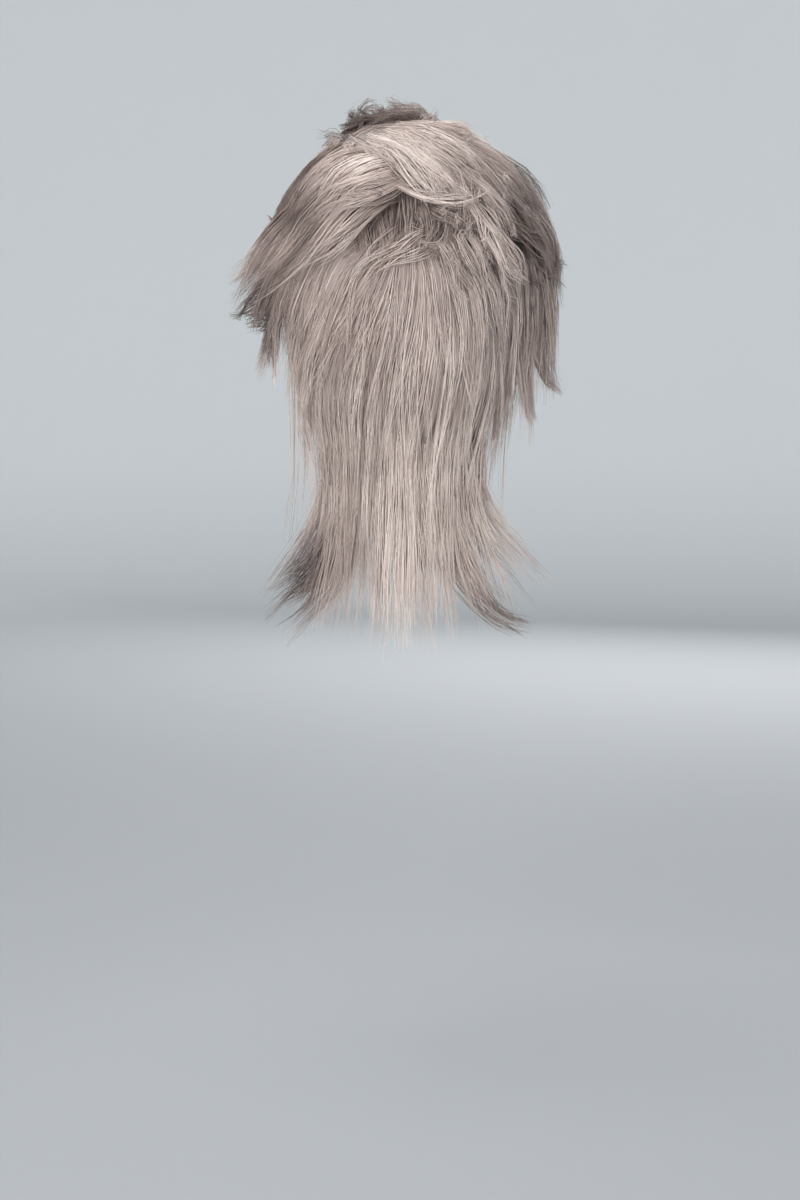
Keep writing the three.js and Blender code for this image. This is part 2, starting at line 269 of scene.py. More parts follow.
# The last of these makes strands that lie deeper in a lock darker: painted shade.
CLUMP_TONES, STRAND_TONES, PAINTED_DEPTH_SHADE = 0.07, 0.085, 0.1
PALE_TONE, PALE_ONES, DARK_TONE, DARK_ONES = 0.2, 0.07, 0.18, 0.08
STRAND_THICKNESSES, STRAY_THICKNESS = (0.65, 1.2), 0.6
# The painted light and shade patches weigh distance front to back at this share, so they reach
# further that way.
PAINTED_PATCH_DEPTH = 0.5


def comb(lock, chance):
    """The strands of one lock: an array of paths, with the tone and the thickness along each.
    They lie in clumps that draw together towards their tips."""
    clumps, strands = int(lock["clumps"]), int(lock["strands"])
    clump = chance.integers(0, clumps, strands)
    across = np.linspace(*CLUMP_SIDES, clumps) + chance.normal(0, CLUMP_SHIFT, clumps)
    height = chance.uniform(*CLUMP_HEIGHTS, clumps)
    reach = chance.uniform(lock["shortest"], LONGEST_CLUMP, clumps)
    drift = np.clip(chance.normal(0, 1, (clumps, 2)), -MOST_DRIFT, MOST_DRIFT) * lock["drift"]
    wave = chance.uniform(0, 2 * np.pi, (clumps, 2))
    clump_tone = chance.normal(0, CLUMP_TONES, clumps)

    length = reach[clump] * (1 - CUT_BACK * chance.random(strands) ** 2)
    share = np.linspace(0, 1, STRAND_POINTS) * length[:, None]
    within = np.minimum(share, 1)
    middle, side, up = lock_line(lock, share)
    taper = np.maximum(along(LOCK_TAPER, within), lock["brush"])
    half_width = LOCK_HALF_WIDTH * lock["width"] * taper * along(lock["waist"], within)
    half_thickness = LOCK_HALF_THICKNESS * lock["thickness"] * taper
    angle = chance.uniform(0, 2 * np.pi, strands)
    radius = np.sqrt(chance.random(strands))
    loose = 1 - lock["draw"] * within**DRAW_POWER
    own = np.clip(chance.normal(0, 1, (strands, 2)), -MOST_CROSS, MOST_CROSS) * lock["cross"]
    a = across[clump][:, None] + drift[clump, :1] * share**2 + own[:, :1] * share
    a = a + (np.cos(angle) * radius * BUNCH_WIDTH / clumps**BUNCH_CROWDING)[:, None] * loose
    b = height[clump][:, None] + drift[clump, 1:] * share**2 + own[:, 1:] * share
    b = b + (np.sin(angle) * radius * BUNCH_HEIGHT)[:, None] * loose

    curl, pace = lock["curl"] / 1000, WAVE_PACE + WAVE_EXTRA * chance.random((clumps, 1))
    turn = share * pace[clump]
    bend = np.sin(turn + wave[clump, :1]) * (SIDE_WAVE + curl) * share
    lift = np.sin(turn * OUTWARD_PACE + wave[clump, 1:]) * (OUTWARD_WAVE + curl) * share
    stray = (chance.random(strands) < lock["strays"]) * chance.uniform(*STRAY_FRIZZ, strands)
    frizz = lock["frizz"] / 1000 * (1 + stray)[:, None] * share**FRIZZ_POWER
    phase = chance.uniform(0, 2 * np.pi, (strands, 2))
    pace = chance.uniform(*FRIZZ_PACES, (strands, 2))
    bend = bend + frizz * np.sin(pace[:, :1] * share + phase[:, :1])
    lift = lift + frizz * np.sin(pace[:, 1:] * share + phase[:, 1:])
    root = CAP_WALL + FIT_GAP + LOCK_HALF_THICKNESS * lock["thickness"]
    dip = root * np.maximum(0, 1 - share / ROOT_SHARE) ** 2
    paths = middle + side * (half_width * a + bend)[..., None]
    paths = paths + up * (half_thickness * b + lift - dip)[..., None]

    tone = lock["tone"] + clump_tone[clump] + chance.normal(0, STRAND_TONES, strands)
    tone = tone + PALE_TONE * (chance.random(strands) < PALE_ONES)
    tone = tone - DARK_TONE * (chance.random(strands) < DARK_ONES)
    # Painted shade and light: strands that lie deeper in the lock are darker, and the tips are made
    # darker or paler.
    tone = tone[:, None] + lock["tip_tone"] * share**2 + PAINTED_DEPTH_SHADE * b
    # Painted light and shade: each patch makes the tone darker or paler round its place.
    for place, reach_of, amount in PAINTED_LIGHT_AND_SHADE_PATCHES:
        away = (paths - np.array(place) / 1000) * [1, PAINTED_PATCH_DEPTH, 1]
        tone = tone + amount * np.exp(-((np.linalg.norm(away, axis=-1) * 1000 / reach_of) ** 2))
    thick = chance.uniform(*STRAND_THICKNESSES, strands) * np.where(stray > 0, STRAY_THICKNESS, 1)
    narrowing = STRAND_TAPER if lock["under"] else LOOSE_TAPER
    thick = thick[:, None] * along(narrowing, np.linspace(0, 1, STRAND_POINTS))
    return clear_of_head(paths, STRAND_CLEARANCE), tone, thick


# The head's round and its drop from crown to ears in millimetres, and a tuft's bend in degrees.
HEAD_ROUND, LEAST_ROUND, HEAD_DOWN, TUFT_BEND = 85, 40, 150, 35


def tufts(chance, count, turn, down, out, heading, lean, **looks):
    """Short loose tufts anywhere in a stretch of hair. They stand almost straight out and lean, by
    a few hundredths of a millimetre, in a heading: 0 is down, 90 towards the wearer's left."""
    locks = []
    for _ in range(count):
        place = [chance.uniform(*turn), chance.uniform(*down), chance.uniform(*out)]
        way = math.radians(chance.uniform(*heading))
        bend = math.radians(chance.uniform(-TUFT_BEND, TUFT_BEND))
        step, path = chance.uniform(*lean) / (GUIDE_POINTS - 1), []
        for k in range(GUIDE_POINTS):
            path.append(tuple(place))
            round_head = max(LEAST_ROUND, HEAD_ROUND * math.sin(min(place[1], 1) * math.pi / 2))
            place[0] += math.degrees(step * math.sin(way + bend * k) / round_head)
            place[1] += step * math.cos(way + bend * k) / HEAD_DOWN
            place[2] += looks.get("rise", 1.0) * (k - 0.5)
        locks += locks_of({"path": path, "under": 0, **looks})
    return locks


strand_tree = bpy.data.node_groups.new("strands_on_paths", "GeometryNodeTree")
TREE_INPUTS = {"Paths": "Geometry", "Sides": "Int", "Radius": "Float", "Finish": "Material"}
for label, kind in TREE_INPUTS.items():
    strand_tree.interface.new_socket(label, in_out="INPUT", socket_type="NodeSocket" + kind)
strand_tree.interface.new_socket("Strands", in_out="OUTPUT", socket_type="NodeSocketGeometry")
wire = Wire(strand_tree)
paths, sides, radius, finish = (
    wire.add("NodeGroupInput", {}, {}, label) for label in TREE_INPUTS
)
lines = wire.add("GeometryNodeMeshToCurve", {}, {"Mesh": paths})
named = "GeometryNodeInputNamedAttribute"
thickness = wire.add(named, {"data_type": "FLOAT"}, {"Name": "thickness"})
circle = wire.add("GeometryNodeCurvePrimitiveCircle", {}, {"Resolution": sides, "Radius": 1.0})
form = {"Curve": lines, "Profile Curve": circle, "Scale": thickness * radius, "Fill Caps": True}
tubes = wire.add("GeometryNodeCurveToMesh", {}, form)
smooth = wire.add("GeometryNodeSetShadeSmooth", {}, {"Geometry": tubes})
real = wire.add("GeometryNodeRealizeInstances", {}, {"Geometry": smooth})
done = wire.add("GeometryNodeSetMaterial", {}, {"Geometry": real, "Material": finish})
wire.add("NodeGroupOutput", {}, {"Strands": done})


def mark(mesh, values):
    """Keeps a number for each point of a mesh, under each label, for the finishes to read."""
    for label, numbers in values.items():
        floats = mesh.attributes.new(label, "FLOAT", "POINT").data
        floats.foreach_set("value", np.asarray(numbers, np.float32).ravel())


def skin_strands(name, paths, tone, thick, finish):
    """One mesh of thin tubes along the paths, closed at both ends."""
    count, points = paths.shape[:2]
    mesh = bpy.data.meshes.new(name + "_paths")
    first = np.arange(count * points).reshape(count, points)
    edges = np.stack([first[:, :-1], first[:, 1:]], -1).reshape(-1, 2)
    mesh.from_pydata(paths.reshape(-1, 3), edges, [])
    share = np.tile(np.linspace(0, 1, points), count)
    mark(mesh, {"thickness": thick, "tone": tone, "share": share})
    source = bpy.data.objects.new(name + "_paths", mesh)
    bpy.context.collection.objects.link(source)
    comb_on = source.modifiers.new("strands", "NODES")
    comb_on.node_group = strand_tree
    given = {"Sides": STRAND_SIDES, "Radius": STRAND_RADIUS, "Finish": finish}
    for item in strand_tree.interface.items_tree:
        if item.name in given:
            comb_on[item.identifier] = given[item.name]
    seen = source.evaluated_get(bpy.context.evaluated_depsgraph_get())
    tubes = bpy.data.meshes.new_from_object(seen)
    source.modifiers.clear()
    bpy.data.objects.remove(source)
    lay_out(tubes, count, points)
    piece = bpy.data.objects.new(name, tubes)
    bpy.context.collection.objects.link(piece)
    return piece


MAP_MARGIN, MAP_WIDTH, MAP_HEIGHT = (0.08, 0.06), 0.76, 0.88
END_PLACE, END_SIZE, END_SQUEEZE = 1.06, 0.04, 0.9


def lay_out(mesh, count, points):
    """Gives each strand a small square of its own on the piece's flat map."""
    corner = np.empty(len(mesh.loops), dtype=np.int32)
    mesh.loops.foreach_get("vertex_index", corner)
    size = np.empty(len(mesh.polygons), dtype=np.int32)
    mesh.polygons.foreach_get("loop_total", size)
    face = np.repeat(np.arange(len(size)), size)
    per_strand = points * STRAND_SIDES
    strand, ring = corner // per_strand, corner % per_strand // STRAND_SIDES
    side = corner % STRAND_SIDES
    has_last = np.bincount(face, weights=side == STRAND_SIDES - 1) > 0
    has_middle = np.bincount(face, weights=side == 1) > 0
    wraps = has_last & ~has_middle
    u = np.where(wraps[face] & (side == 0), STRAND_SIDES, side) / STRAND_SIDES
    v = ring / (points - 1)
    is_end = (size == STRAND_SIDES)[face]
    u = np.where(is_end, END_PLACE + END_SIZE * (side == 1), u)
    v = np.where(is_end, v * END_SQUEEZE + END_SIZE * (side == 2), v)
    in_row = math.ceil(math.sqrt(count))
    u = (strand % in_row + MAP_MARGIN[0] + MAP_WIDTH * u) / in_row
    v = (strand // in_row + MAP_MARGIN[1] + MAP_HEIGHT * v) / in_row
    layer = mesh.uv_layers.new(name="OFBake")
    layer.data.foreach_set("uv", np.stack([u, v], -1).astype(np.float32).ravel())


def mesh_from(name, points, faces, finish, values):
    mesh = bpy.data.meshes.new(name)
    mesh.from_pydata(points, [], faces)
    mark(mesh, values)
    mesh.materials.append(finish)
    mesh.shade_smooth()
    piece = bpy.data.objects.new(name, mesh)
    bpy.context.collection.objects.link(piece)
    return piece


UNDER_RINGS, UNDER_SIDES, UNDER_SHARE, UNDER_SINK, UNDER_START = 15, 10, 0.7, 0.25, 0.02
UNDER_POINT, UNDER_STREAKS, UNDER_CLEARANCE = 0.995, 0.5, 0.002
# The underhair and its backing are darker than the strands: painted shade under and between them.
UNDER_PAINTED_SHADE, BACKING_PAINTED_SHADE = -0.2, -0.5
BACKING_TURNS, BACKING_LEVELS, BACKING_GAP = 19, 13, 0.4
BACKING_FILL, BACKING_SHARE, STREAK_TURN = 0.8, 0.3, 8


def down_of(drop):
    """How far down a point of the scalp is that lies a drop below the crown."""
    dome = np.arccos(np.clip(1 - drop / CROWN_HEIGHT, -1, 1)) / (np.pi / 2)
    below = (drop - CROWN_HEIGHT) / (TAIL_DROP - CROWN_HEIGHT)
    return np.where(drop < CROWN_HEIGHT, dome, 1 + below)


def down_at(turn, level):
    """How far down a level lies: 0 is the crown, 1 the crown's seam and 2 the cap's edge."""
    from_back = np.abs((turn + 540) % 360 - 180)
    edge = down_of(CAP_DEPTH * along(CAP_EDGE, from_back / 180))
    return np.where(level <= 1, CROWN_SEAM * level, CROWN_SEAM + (edge - CROWN_SEAM) * (level - 1))


def underhair(name, locks, patch, tone, finish):
    """The sewn backing and the dense middle of every lock, under the loose strands. Both are darker
    than the strands, as painted shade.
    """
    points, faces, tones, shares, acrosses = [], [], [], [], []

    def shell(grid, *looks):
        first, (rings, sides) = sum(len(p) for p in points), grid.shape[:2]
        points.append(grid.reshape(-1, 3))
        for values, look in zip((tones, shares, acrosses), looks):
            values.append(np.broadcast_to(look, (rings, sides)).ravel())
        for k in range(rings - 1):
            for i in range(sides):
                a, b = first + k * sides + i, first + k * sides + (i + 1) % sides
                faces.append((a, b, b + sides, a + sides))
        faces.append(tuple(first + i for i in reversed(range(sides))))
        faces.append(tuple(first + (rings - 1) * sides + i for i in range(sides)))

    from_turn, to_turn = patch["turn"]
    turns = np.linspace(from_turn + BACKING_GAP, to_turn - BACKING_GAP, BACKING_TURNS)
    levels = np.linspace(*patch["level"], BACKING_LEVELS)
    fill = along(patch["fill"], np.linspace(0, 1, BACKING_LEVELS))
    inner = CAP_WALL + FIT_GAP
    outer = inner + BACKING_WALL + HAIR_DEPTH * BACKING_FILL * fill
    rings = []
    for turn in turns:
        down = down_at(turn, levels)
        rings.append(np.vstack([over_head(turn, down, inner), over_head(turn, down, outer)[::-1]]))
    spread = np.hstack([np.linspace(0, 1, BACKING_LEVELS), np.linspace(1, 0, BACKING_LEVELS)])
    streaks = turns[:, None] / STREAK_TURN
    shell(np.array(rings), tone + BACKING_PAINTED_SHADE, spread * BACKING_SHARE, streaks)
    angle = np.linspace(0, 2 * np.pi, UNDER_SIDES, endpoint=False)
    for number, lock in enumerate(locks):
        share = np.linspace(UNDER_START, lock["under"], UNDER_RINGS)
        middle, side, up = lock_line(lock, share)
        closing = np.sqrt(1 - UNDER_POINT * (share / lock["under"]) ** 4)
        taper = along(LOCK_TAPER, share) * closing
        waisted = taper * along(lock["waist"], share)
        width = LOCK_HALF_WIDTH * lock["width"] * UNDER_SHARE * waisted
        height = LOCK_HALF_THICKNESS * lock["thickness"] * UNDER_SHARE * taper
        grid = middle[:, None] + side[:, None] * np.cos(angle)[None, :, None] * width[:, None, None]
        sunk = np.sin(angle)[None, :, None] - UNDER_SINK
        grid = clear_of_head(grid + up[:, None] * sunk * height[:, None, None], UNDER_CLEARANCE)
        across = number + np.cos(angle) * UNDER_STREAKS
        shell(grid, lock["tone"] + UNDER_PAINTED_SHADE, share[:, None], across)
    looks = zip(("tone", "share", "across"), (tones, shares, acrosses))
    values = {label: np.concatenate(numbers) for label, numbers in looks}
    return mesh_from(name, np.vstack(points), faces, finish, values)


PATCH_SCALE, PATCH_AMOUNT, ROOT_SHADE, ROOT_POWER = 38.0, 0.5, 0.35, 4


def hair_finish(name, dark, middle, light, gloss):
    """Strands: darker at the root, with each strand's own tone and a soft sheen."""
    material, wire = new_finish(name)
    tone, share = wire.attribute("tone"), wire.attribute("share")
    place = wire.add("ShaderNodeTexCoord", {}, {}, "Object")
    noise = {"Vector": place, "Scale": PATCH_SCALE, "Detail": 2.0}
    patchy = wire.add("ShaderNodeTexNoise", {}, noise, 0)
    shade = tone + (patchy - 0.5) * PATCH_AMOUNT - ROOT_SHADE * (1 - share) ** ROOT_POWER
    stops = [(0.0, dark), (1.0, light), (0.5, middle)]
    colour = wire.add("ShaderNodeValToRGB", {"stops": stops}, {0: shade.clamped()})
    close_finish(wire, Base_Color=colour, Roughness=gloss, Specular_IOR_Level=0.5)
    return material


STREAKS_ACROSS, STREAKS_ALONG, STREAK_CHANGE = 32, 2.5, 9
STREAK_CONTRAST, STREAK_DARKENING, STREAK_RELIEF = 2.4, 0.95, 0.001


def under_finish(name, dark, light):
    """The dense hair underneath: fine streaks that run along each lock, in colours darker than the
    strands' as painted shade.
    """
    material, wire = new_finish(name)
    tone, share, across = (wire.attribute(label) for label in ("tone", "share", "across"))
    place = {0: across * STREAKS_ACROSS, 1: share * STREAKS_ALONG, 2: tone * STREAK_CHANGE}
    line = wire.add("ShaderNodeCombineXYZ", {}, place)
    streak = wire.add("ShaderNodeTexNoise", {}, {"Vector": line, "Scale": 1.0, "Detail": 3.0}, 0)
    shade = (streak * STREAK_CONTRAST - STREAK_DARKENING + tone).clamped()
    colour = shade.mixed((*dark, 1), (*light, 1))
    relief = {"Strength": 0.6, "Distance": STREAK_RELIEF, "Height": streak}
    bump = wire.add("ShaderNodeBump", {}, relief)
    close_finish(wire, Base_Color=colour, Roughness=0.6, Normal=bump)
    return material


DARK, MIDDLE, LIGHT = (0.165, 0.121, 0.105), (0.56, 0.449, 0.405), (0.90, 0.795, 0.725)
light_strands = hair_finish("silver_blond_strands", DARK, MIDDLE, LIGHT, 0.36)
shade_strands = hair_finish("taupe_strands", DARK, MIDDLE, LIGHT, 0.42)
# The underhair's colours are darker than the strands': painted shade in the gaps between strands.
light_under = under_finish("silver_blond_underhair", (0.11, 0.085, 0.077), (0.42, 0.34, 0.31))
shade_under = under_finish("taupe_underhair", (0.10, 0.077, 0.070), (0.38, 0.305, 0.28))


def dress(node, seed, patch, tone, rows, finishes, tuft_sets=()):
    """Hair over one section: its underhair in place of the modelled solid, and strands over it.
    Patch is where the backing lies and how thickly it is filled. Rows and tufts are its locks."""
    chance = np.random.default_rng(seed)
    strands_finish, under = finishes
    locks = [lock for row in rows for lock in locks_of({"tone": tone, **row})]
    locks += [lock for more in tuft_sets for lock in tufts(chance, **{"tone": tone, **more})]
    combed = [comb(lock, chance) for lock in locks]
    paths, tones, thick = (np.concatenate(part) for part in zip(*combed))
    dense = [lock for lock in locks if lock["under"]]
    body = underhair(node + "_underhair", dense, patch, tone, under)
    strands = skin_strands(node + "_strands", paths, tones, thick, strands_finish)
    for piece in (body, strands):
        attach(piece, "root")
        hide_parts(node)


dress(
    "nape_tail", seed=11, tone=0.5,
    patch={"turn": [-45, 45], "level": [1.5, 2], "fill": [0.15, 0.25, 0.1]},
    finishes=(shade_strands, shade_under),
    rows=[
        dict(
            count=9, root_turn=[-40, 42], root_down=1, tip_turn=[-60, -32, -14, 2, 16, 30, 56],
            tip_down=[1.86, 1.93, 1.97, 1.99, 1.99, 1.95, 1.88],
            tip_out=[0.85, 0.25, 0.1, 0.05, 0.1, 0.25, 0.8], lift=0.14,
            sweep=[7, 3.5, 2.6, 2.6, 2.6, 4], flick=8, stagger=0.015, thickness=1.3, clumps=18,
            strands=250, brush=0.95, draw=0.3, drift=0.5, shortest=0.88, frizz=0.7, curl=2.5,
            # Painted shade on the tips of the outer flares, painted light on the middle ones.
            under=0.8, tip_tone=[-0.1, 0.05, 0.2, 0.2, 0.1, -0.1],
            tone=[0.5, 0.56, 0.48, 0.58, 0.74, 0.54, 0.48, 0.58, 0.52],
        ),
        # These flares get painted shade at their tips.
        dict(path=[(26, 1.5, 12), (38, 1.7, 14), (54, 1.83, 24), (68, 1.91, 38)], width=1.1,
             thickness=0.9, clumps=14, strands=170, tone=0.44, tip_tone=-0.4, brush=0.9, draw=0.2,
             shortest=0.7, frizz=0.9, curl=2, under=0),
        dict(path=[(24, 1.5, 12), (34, 1.75, 14), (46, 1.88, 18), (60, 1.98, 24)], width=1,
             thickness=0.8, clumps=12, strands=130, tone=0.44, tip_tone=-0.2, brush=0.9, draw=0.2,
             shortest=0.7, frizz=0.9, curl=2, under=0),
        dict(path=[(-20, 1.5, 10), (-28, 1.75, 12), (-44, 1.9, 20), (-58, 1.96, 34)], width=0.8,
             thickness=0.8, clumps=10, strands=80, tone=0.5, tip_tone=-0.2, brush=0.9, draw=0.2,
             shortest=0.7, frizz=0.9, curl=2, under=0),
    ],
)


# The back layer: synthetic hair sewn in rows over the back of the cap and cut in steps. It is
# pinched together under the crown and fans out from there over the tail.
BACK_TONES = (0.46, 0.5, 0.54, 0.5, 0.54, 0.58, 0.52, 0.56, 0.46, 0.42)
BACK_FAN = (
    [(15, 0.9, 12), (25, 0.99, 20), (41, 1.08, 26), (54, 1.2, 26), (62, 1.36, 23),
     (58, 1.54, 22), (55, 1.72, 22)],
    [(10, 0.86, 10), (18, 0.97, 20), (30, 1.08, 26), (41, 1.2, 27), (48, 1.36, 25),
     (44, 1.53, 22), (42, 1.78, 20)],
    [(7, 0.8, 8), (11, 0.97, 20), (20, 1.08, 26), (31, 1.19, 28), (40, 1.35, 27),
     (38, 1.53, 24), (35, 1.84, 20)],
    [(4, 0.87, 10), (5, 0.98, 20), (11, 1.08, 26), (19, 1.19, 28), (26, 1.35, 27),
     (26, 1.52, 24), (25, 1.88, 18)],
    [(1, 0.78, 8), (0, 0.96, 20), (2, 1.08, 26), (7, 1.19, 28), (12, 1.35, 27), (14, 1.52, 24),
     (14, 1.82, 18)],
    [(-3, 0.84, 9), (-7, 0.97, 20), (-7, 1.08, 26), (-5, 1.19, 28), (0, 1.35, 27),
     (3, 1.52, 24), (3, 1.9, 18)],
    [(-8, 0.78, 8), (-13, 0.96, 20), (-16, 1.08, 26), (-17, 1.19, 28), (-14, 1.35, 27),
     (-9, 1.52, 24), (-7, 1.84, 18)],
    [(-14, 0.82, 12), (-20, 0.97, 20), (-26, 1.08, 26), (-30, 1.19, 28), (-29, 1.35, 27),
     (-23, 1.52, 24), (-19, 1.86, 18)],
    [(-20, 0.84, 12), (-29, 0.97, 20), (-37, 1.08, 26), (-44, 1.2, 28), (-44, 1.36, 26),
     (-37, 1.53, 22), (-30, 1.76, 18)],
    [(-28, 0.84, 12), (-37, 0.97, 20), (-50, 1.08, 26), (-60, 1.2, 28), (-60, 1.36, 25),
     (-53, 1.5, 22), (-46, 1.68, 21)],
)
dress(
    "back_layer", seed=12, tone=0.56,
    patch={"turn": [-45, 45], "level": [1, 1.5], "fill": [0.2, 0.25, 0.15]},
    finishes=(light_strands, light_under),
    rows=[
        *(
            dict(path=path, waist=[0.5, 0.75, 1, 1], thickness=1.2, clumps=18, strands=180,
                 brush=0.9, tone=tone, draw=0.3, drift=0.5, shortest=0.72, curl=2.5, frizz=0.8,
                 under=0.78)
            for tone, path in zip(BACK_TONES, BACK_FAN)
        ),
        dict(
            count=6, root_turn=[14, 40], root_down=[0.84, 0.62], tip_turn=[56, 64, 70, 79],
            tip_down=[1.42, 1.32, 1.2, 1.09], tip_out=[0.5, 0.7, 0.95, 1.3], lift=[0.46, 0.38],
            sweep=0.9, width=1.05, thickness=0.9, clumps=14, strands=160, brush=0.7, draw=0.35,
            drift=0.6, shortest=0.7, curl=2, under=0.7,
        ),
        dict(
            count=9, root_turn=[24, -30], root_down=[0.93, 0.86], tip_turn=[60, -52],
            tip_down=[1.28, 1.4, 1.46, 1.3], tip_out=0.62, lift=0.48, stagger=0.06, width=0.8,
            thickness=0.7, clumps=8, strands=46, tone=0.56, draw=0.4, drift=0.8, cross=0.3,
            shortest=0.6, curl=3, frizz=1, under=0,
        ),
        dict(
            count=7, root_turn=[32, -26], root_down=0.5, tip_turn=[13, -7], tip_down=[1.04, 1],
            tip_out=0.5, lift=0.2, width=0.65, thickness=0.4, clumps=6, strands=40, tone=0.44,
            curl=1.5, cross=0.25, under=0,
        ),
        dict(path=[(-3, 0.82, 16), (4, 0.91, 22), (12, 1, 27), (22, 1.06, 30)], width=0.8,
             thickness=0.6, clumps=7, strands=40, tone=0.62, curl=4, drift=1, cross=0.5,
             shortest=0.5, under=0),
        dict(path=[(-16, 0.86, 22), (-3, 0.93, 26), (12, 0.98, 27), (25, 0.98, 26)], width=0.8,
             thickness=0.6, clumps=7, strands=34, tone=0.6, curl=4, frizz=1.5, drift=1, cross=0.5,
             shortest=0.5, under=0),
    ],
)


# The left side: layered synthetic hair over the wearer's left ear, sewn in rows to the side of the
# cap. Its ends are cut in steps, and the darker ones stand out in the air as flicks.
dress(
    "side_left", seed=13, tone=0.5,
    patch={"turn": [45, 135], "level": [1, 2], "fill": [0.2, 0.35, 0.4, 0.3, 0.1]},
    finishes=(light_strands, light_under),
    rows=[
        dict(
            count=6, root_turn=[54, 124], root_down=0.78, tip_turn=[52, 64, 80, 98, 114],
            tip_down=[1.42, 1.36, 1.26, 1.22, 1.16], tip_out=[0.45, 0.65, 0.85, 0.7, 0.4],
            lift=0.32, stagger=0.02, width=1.05, thickness=1.2, clumps=14, strands=200, brush=0.8,
            draw=0.35, drift=0.7, shortest=0.6, curl=2, under=0.5,
        ),
        dict(
            count=4, root_turn=[58, 122], root_down=0.52, tip_turn=[80, 88, 98, 112],
            tip_down=[1.02, 1.1, 1.14, 1.1], tip_out=[1.15, 1.15, 0.9, 0.6], lift=0.2, flick=5,
            width=1.1, thickness=1.1, clumps=12, strands=200, brush=0.5, drift=0.7, curl=2,
            under=0.7,
        ),
        dict(path=[(65, 1.01, 28), (80, 1.07, 38), (86, 1.11, 54), (85, 1.1, 69)], width=0.8,
             thickness=0.8, clumps=6, strands=90, tone=0.2, curl=1, frizz=1.2, drift=0.8,
             draw=0.2, shortest=0.6, under=0),
        dict(path=[(65, 1.05, 28), (80, 1.11, 38), (86, 1.15, 55)], width=0.8, thickness=0.8,
             clumps=6, strands=90, tone=0.2, curl=1, frizz=1.2, drift=0.8, draw=0.2, shortest=0.6,
             under=0),
        dict(path=[(76, 1.05, 24), (80, 1.18, 34), (82, 1.3, 38)], width=0.9, thickness=0.6,
             clumps=5, strands=60, tone=0.6, frizz=1.4, under=0),
    ],
    tuft_sets=[
        dict(count=8, turn=(60, 120), down=(0.8, 1.1), out=(26, 34), heading=(-20, 40),
             lean=(0.05, 0.08), width=0.35, thickness=0.4, clumps=3, strands=20, curl=1,
             frizz=0.7, rise=2),
    ],
)


# The right side: the same sewn layers at the wearer's right ear, of the darker hair. They hang
# closer and longer, and end in a few points that turn outwards.
dress(
    "side_right", seed=14, tone=0.36,
    patch={"turn": [-135, -45], "level": [1, 2], "fill": [0.3, 0.5, 0.5, 0.4, 0.15]},
    finishes=(shade_strands, shade_under),
    rows=[
        dict(
            count=6, root_turn=[-54, -124], root_down=0.78, tip_turn=[-52, -68, -80, -98, -114],
            tip_down=[1.46, 1.43, 1.34, 1.26, 1.18], tip_out=[0.5, 0.85, 1.15, 0.8, 0.4],
            lift=[0.4, 0.62, 0.42], stagger=0.02, width=1.05, thickness=1.2, clumps=14,
            strands=210, brush=0.8, draw=0.3, drift=0.7, shortest=0.65, curl=2.5, frizz=1.1,
            under=0.66,
        ),
        dict(
            count=4, root_turn=[-58, -122], root_down=0.52, tip_turn=[-76, -88, -102, -114],
            tip_down=[1.06, 1.14, 1.12, 1.04], tip_out=[0.85, 0.95, 0.9, 0.55], lift=0.52,
            width=1.1, thickness=1.1, clumps=12, strands=200, brush=0.5, drift=0.7, curl=4,
            frizz=1.6, tone=0.26, under=0.75,
        ),
        dict(path=[(-59, 1.08, 36), (-72, 1.18, 38), (-82, 1.28, 48), (-85, 1.33, 64)], width=0.7,
             thickness=0.6, clumps=5, strands=80, frizz=1.4, under=0),
        dict(path=[(-59, 1.15, 34), (-66, 1.26, 36), (-78, 1.36, 38), (-84, 1.43, 44)], width=0.8,
             thickness=0.6, clumps=5, strands=80, frizz=1.2, tone=0.5, under=0),
    ],
    tuft_sets=[
        dict(count=12, turn=(-110, -60), down=(0.8, 1.1), out=(32, 40), heading=(-100, -20),
             lean=(0.04, 0.07), width=0.35, thickness=0.4, clumps=3, strands=20, curl=2,
             frizz=0.8, rise=1.5, tone=0.24),
    ],
)


# The fringe: the front hair, one row of wefts sewn along the cap's front. It is combed down over
# the forehead and parted towards the temples.
dress(
    "fringe", seed=15, tone=0.5,
    patch={"turn": [135, 225], "level": [1, 2], "fill": [0.25, 0.4, 0.4, 0.3, 0.15]},
    finishes=(light_strands, light_under),
    rows=[
        dict(
            count=7, root_turn=[140, 220], root_down=0.56,
            tip_turn=[126, 142, 156, 172, 190, 212, 234],
            tip_down=[1.2, 1.06, 1, 0.98, 1, 1.06, 1.2],
            tip_out=[0.3, 0.35, 0.4, 0.45, 0.4, 0.35, 0.3], lift=0.4, stagger=0.02, thickness=1.1,
            clumps=12, strands=240, brush=0.55, drift=0.5, curl=1.5, under=0.78,
        ),
    ],
)


